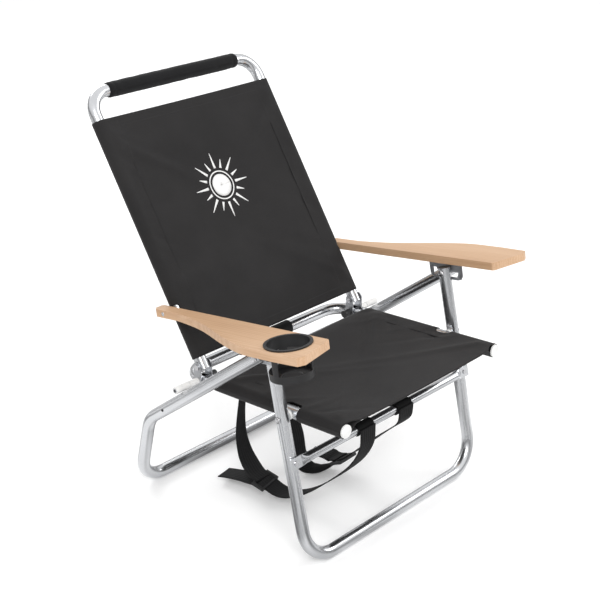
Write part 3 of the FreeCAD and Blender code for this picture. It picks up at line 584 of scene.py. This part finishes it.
def make_emblem(back):
    """A plain sun: a disc, a ring and tapering rays, printed on the cloth."""
    centre = (0.0, 0.288)
    lift = 0.00062
    vertices, faces = [], []

    def ray(inner, outer, half_inner, half_outer, angle):
        for index in range(RAY_STEPS + 1):
            t = index / RAY_STEPS
            radius = inner + (outer - inner) * t
            half = half_inner + (half_outer - half_inner) * t
            for end in (-1, 1):
                x = centre[0] + radius * math.cos(angle) - end * half * math.sin(angle)
                y = centre[1] + radius * math.sin(angle) + end * half * math.cos(angle)
                vertices.append(back.surface(x, y, lift))
            if index:
                base = len(vertices) - 4
                faces.append((base, base + 1, base + 3, base + 2))

    def ring(inner, outer):
        start = len(vertices)
        for segment in range(RING_SEGMENTS + 1):
            angle = 2 * math.pi * segment / RING_SEGMENTS
            for index in range(RING_STEPS + 1):
                radius = inner + (outer - inner) * index / RING_STEPS
                vertices.append(back.surface(centre[0] + radius * math.cos(angle),
                                             centre[1] + radius * math.sin(angle), lift))
        width = RING_STEPS + 1
        for segment in range(RING_SEGMENTS):
            for index in range(RING_STEPS):
                base = start + segment * width + index
                faces.append((base, base + 1, base + width + 1, base + width))

    ring(0.0008, 0.021)
    ring(0.0255, 0.0278)
    for index in range(RAYS):
        tip = 0.062 if index % 2 == 0 else 0.050
        ray(0.033, tip, 0.0027, 0.0006, 2 * math.pi * index / RAYS)
    emblem = mesh_object("back_emblem", vertices, faces, INK)
    solid = emblem.modifiers.new("ink", "SOLIDIFY")
    solid.thickness = 0.00012
    settle(emblem)
    return emblem


# ----------------------------------------------------------------------- grip
def make_grip():
    """A foam roll in a sewn cover: slightly uneven, rounded shut at its ends."""
    low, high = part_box("back_grip")
    centre = (low + high) / 2
    half = (high.x - low.x) / 2
    radius = (high.z - low.z) / 2
    end_round = 0.007
    rng = random.Random(5)
    dents = [(rng.uniform(-half, half), rng.uniform(0, 2 * math.pi), rng.uniform(0.010, 0.022),
              rng.uniform(0.0002, 0.0005)) for _ in range(36)]
    columns, around = 150, 56
    vertices, faces, uvs = [], [], []
    for column in range(columns + 1):
        x = -half + 2 * half * column / columns
        end = (half - abs(x)) / end_round
        shrink = math.sqrt(max(1 - (1 - min(end, 1.0)) ** 2, 0.0))
        size = (TUBE + 0.0006) + (radius - 0.0004 - TUBE - 0.0006) * (0.15 + 0.85 * shrink)
        gather = 0.0005 * math.exp(-((half - abs(x) - 0.012) / 0.003) ** 2)
        for step in range(around):
            angle = 2 * math.pi * step / around
            dent = gather
            for dent_x, turn, wide, deep in dents:
                apart = math.remainder(angle - turn, 2 * math.pi) * radius
                gap = ((x - dent_x) / (wide * 0.45)) ** 2 + (apart / wide) ** 2
                if gap < 6:
                    dent += deep * math.exp(-gap)
            reach = size - dent
            vertices.append(centre + Vector((x, math.cos(angle) * reach, math.sin(angle) * reach)))
            uvs.append((x, angle * radius))
    for column in range(columns):
        for step in range(around):
            following = (step + 1) % around
            base = column * around
            faces.append((base + step, base + following, base + around + following, base + around + step))
    inner = len(vertices)
    for x in (-half, half):
        for step in range(around):
            angle = 2 * math.pi * step / around
            reach = TUBE + 0.0002
            vertices.append(centre + Vector((x, math.cos(angle) * reach, math.sin(angle) * reach)))
            uvs.append((x, angle * radius))
    last = columns * around
    for step in range(around):
        following = (step + 1) % around
        faces.append((inner + step, inner + following, following, step))
        faces.append((last + step, last + following, inner + around + following, inner + around + step))
        faces.append((inner + following, inner + step, inner + around + step, inner + around + following))
    grip = mesh_object("grip_cover", vertices, faces, GRIP_CLOTH, uvs)
    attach(grip, "back")
    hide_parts("back_grip")


# --------------------------------------------------------------------- straps
FRONT_BAR_Y = -0.25527
# Each route's points: x, y from the front bar, z in millimetres, and the webbing's twist in degrees.
STRAPS = {
    "strap_front_right": [(-60, 17.1, 199, 0), (-60, 17, 184, 0), (-60, 17.6, 164, 0), (-62, 30, 134, 0),
                          (-66, 50, 106, 0), (-76, 86, 70, 0), (-86, 118, 42, 0), (-96, 150, 22, 0),
                          (-102, 176, 15, 0), (-106, 201, 20, 0)],
    "strap_rear_right": [(-108, 244, 34, 0), (-96, 276, 44, 8), (-90, 294, 60, 16), (-84, 308, 84, 21),
                         (-72, 318, 120, 25), (-58, 322, 175, 29), (-48, 322, 227, 31)],
    "strap_front_left": [(42, 17.1, 199, 0), (42, 17, 186, 0), (42, 20, 170, 0), (42, 38, 152, 0),
                         (42, 62, 130, 0), (42, 95, 96, 0), (41, 130, 62, 0), (40, 144, 48, 0)],
    "strap_rear_left": [(36, 176, 19, 0), (24, 186, 13, 0), (8, 198, 9, 0), (-2, 218, 9, 0), (0, 238, 24, 0),
                        (4, 246, 57, 0), (2, 254, 84, 0), (6, 276, 130, 0), (24, 306, 180, 0),
                        (42, 321, 227, 0)],
    "strap_tail_right": [(-113, 240, 22, 0), (-116, 262, 21, 0), (-121, 290, 17, 0), (-126, 312, 12, 0)],
    "strap_tail_left": [(38, 179, 29, 0), (34, 190, 34, 0), (28, 208, 35, 0), (22, 226, 31, 0)],
}
# How the webbing runs on past its CAD stand-in, over or under the buckle's bars.
AT_BUCKLE = {
    "strap_front_right": ("end", [(-109, 219, 30.6, 0)]),
    "strap_rear_right": ("start", [(-109, 222, 31.0, 0), (-109, 232, 33.0, 0)]),
    "strap_tail_right": ("start", [(-110, 222, 23.6, 0)]),
    "strap_front_left": ("end", [(39, 160, 36.6, 0)]),
    "strap_rear_left": ("start", [(38, 162, 29.4, 0)]),
    "strap_tail_left": ("start", [(39, 166, 35.0, 0)]),
}
STRAP_HALF = 0.0188
STRAP_THICK = 0.0018
STRAP_CUP = 0.0008
STRAP_RIBS = 10


def make_strap(name, points):
    """Webbing carried along a smooth line, level across but for its twist, with a slight cup."""
    route = [Vector((x / 1000, y / 1000 + FRONT_BAR_Y, z / 1000)) for x, y, z, _ in points]
    line = smooth_line(route)
    twists = [spot.x for spot in smooth_line([(math.radians(point[3]), 0, 0) for point in points])]
    vertices, faces, uvs = [], [], []
    run = 0.0
    for index, spot in enumerate(line):
        before, after = line[max(index - 1, 0)], line[min(index + 1, len(line) - 1)]
        along = (after - before).normalized()
        level = Vector((math.cos(twists[index]), math.sin(twists[index]), 0))
        across = (level - along * along.dot(level)).normalized()
        normal = along.cross(across)
        if index:
            run += (spot - line[index - 1]).length
        for rib in range(STRAP_RIBS + 1):
            t = 2 * rib / STRAP_RIBS - 1
            cup = STRAP_CUP * (t * t - 0.4) * math.sin(run * 40)
            vertices.append(spot + across * (t * STRAP_HALF) + normal * cup)
            uvs.append((t * STRAP_HALF, run))
    width = STRAP_RIBS + 1
    for row in range(len(line) - 1):
        for rib in range(STRAP_RIBS):
            base = row * width + rib
            faces.append((base, base + 1, base + width + 1, base + width))
    strap = mesh_object(name + "_web", vertices, faces, WEBBING, uvs)
    thicken(strap, STRAP_THICK)
    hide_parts(name)
    return strap, line


def make_straps():
    """All the webbing; the rear straps cross from the front legs to the seat."""
    for name, points in STRAPS.items():
        end, extra = AT_BUCKLE[name]
        strap, line = make_strap(name, points + extra if end == "end" else extra + points)
        if "rear" in name:
            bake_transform(strap)
        else:
            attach(strap, "front_legs")


# ---------------------------------------------------------------- surroundings
MIX_FACTOR, MIX_A, MIX_B, MIX_RESULT = 0, 6, 7, 2  # colour sockets of the Mix node
FLOOR_HALF = 14.0


def grey(value):
    return (value, value, value)


def make_floor():
    """A near-white floor with faint mottling; its darker patches are painted reflection that only glossy rays
    see, darkening the tubes' reflections.
    """
    floor = Shade("floor", grey(0.93), 0.6)
    floor.shader.inputs["Specular IOR Level"].default_value = 0.1
    mottle_and_painted_reflection = floor.noise(floor.place((2.4, 2.4, 2.4)), 2.0)
    plain = floor.ramp(mottle_and_painted_reflection, (0.2, grey(0.925)), (0.8, grey(0.94)))
    # Painted reflection: dark patches that only glossy rays see, so the polished tubes show dark streaks from
    # the floor.
    painted_reflection = floor.ramp(mottle_and_painted_reflection, (0.40, grey(0.10)), (0.58, grey(0.85)))
    ray = floor.add("ShaderNodeLightPath")
    choice = floor.add("ShaderNodeMix", data_type="RGBA")
    floor.join(ray.outputs["Is Glossy Ray"], choice.inputs[MIX_FACTOR])
    floor.join(plain, choice.inputs[MIX_A])
    floor.join(painted_reflection, choice.inputs[MIX_B])
    floor.color(choice.outputs[MIX_RESULT])
    floor.shader.inputs["Emission Color"].default_value = (1, 1, 1, 1)
    floor.shader.inputs["Emission Strength"].default_value = 0.10
    corners = [(x * FLOOR_HALF, y * FLOOR_HALF, 0) for x, y in ((-1, -1), (1, -1), (1, 1), (-1, 1))]
    mesh_object("floor", corners, [(0, 1, 2, 3)], floor.material)


def area_light(name, location, target, size, power):
    data = bpy.data.lights.new(name, "AREA")
    data.shape = "RECTANGLE"
    data.size, data.size_y = size
    data.energy = power
    light = bpy.data.objects.new(name, data)
    light.location = location
    light.rotation_euler = (Vector(target) - Vector(location)).to_track_quat("-Z", "Y").to_euler()
    bpy.context.scene.collection.objects.link(light)


def make_lights():
    """Three soft boxes, and a world that is white to the camera and shaded for all other rays."""
    world = bpy.data.worlds.new("studio")
    world.use_nodes = True
    tree = world.node_tree
    background = tree.nodes["Background"]
    source = tree.nodes.new("ShaderNodeTexCoord")
    split = tree.nodes.new("ShaderNodeSeparateXYZ")
    tree.links.new(source.outputs["Generated"], split.inputs[0])
    shade = tree.nodes.new("ShaderNodeValToRGB")
    stops = ((0.0, 0.30), (0.10, 0.22), (0.30, 0.75), (0.55, 1.0))
    while len(shade.color_ramp.elements) < len(stops):
        shade.color_ramp.elements.new(0.5)
    for element, (position, value) in zip(shade.color_ramp.elements, stops):
        element.position = position
        element.color = (*grey(value), 1)
    tree.links.new(split.outputs["Z"], shade.inputs["Fac"])
    seen = tree.nodes.new("ShaderNodeLightPath")
    mix = tree.nodes.new("ShaderNodeMix")
    mix.data_type = "RGBA"
    mix.inputs[MIX_B].default_value = (1, 1, 1, 1)
    tree.links.new(seen.outputs["Is Camera Ray"], mix.inputs[MIX_FACTOR])
    tree.links.new(shade.outputs["Color"], mix.inputs[MIX_A])
    tree.links.new(mix.outputs[MIX_RESULT], background.inputs["Color"])
    background.inputs["Strength"].default_value = 1.0
    bpy.context.scene.world = world
    middle = (0, 0, 0.3)
    area_light("key", (-2.2, -2.6, 3.0), middle, (1.6, 1.6), 70)
    area_light("fill", (2.8, -1.6, 1.8), middle, (1.2, 2.0), 28)
    area_light("rim", (0.8, 3.2, 2.4), middle, (2.4, 1.0), 40)


CAMERA_AZIMUTH = math.radians(-46.3)
CAMERA_ELEVATION = math.radians(24.1)
CAMERA_PLACE = (-1.5122, -1.2106 + FRONT_BAR_Y, 1.2842)
CAMERA_LENS = 76.8
CAMERA_SENSOR = 36.0


def make_camera():
    """A three-quarter view of the chair's front and right side."""
    data = bpy.data.cameras.new("camera")
    data.sensor_width = CAMERA_SENSOR
    data.lens = CAMERA_LENS
    camera = bpy.data.objects.new("camera", data)
    camera.location = CAMERA_PLACE
    level = math.cos(CAMERA_ELEVATION)
    backward = Vector((math.sin(CAMERA_AZIMUTH) * level, -math.cos(CAMERA_AZIMUTH) * level,
                       math.sin(CAMERA_ELEVATION)))
    camera.rotation_euler = (-backward).to_track_quat("-Z", "Y").to_euler()
    bpy.context.scene.collection.objects.link(camera)
    bpy.context.scene.camera = camera


finish_cad_nodes()
for arm in ("arm_plank_right", "arm_plank_left"):
    soften(arm, 0.0022, 3)
for part in ("buckle_right", "buckle_left", "cup_holder", "notch_plate_right", "notch_plate_left"):
    soften(part, 0.0004)
make_slings()
make_grip()
make_straps()
make_floor()
make_lights()
make_camera()
bpy.context.scene.view_settings.view_transform = "Standard"
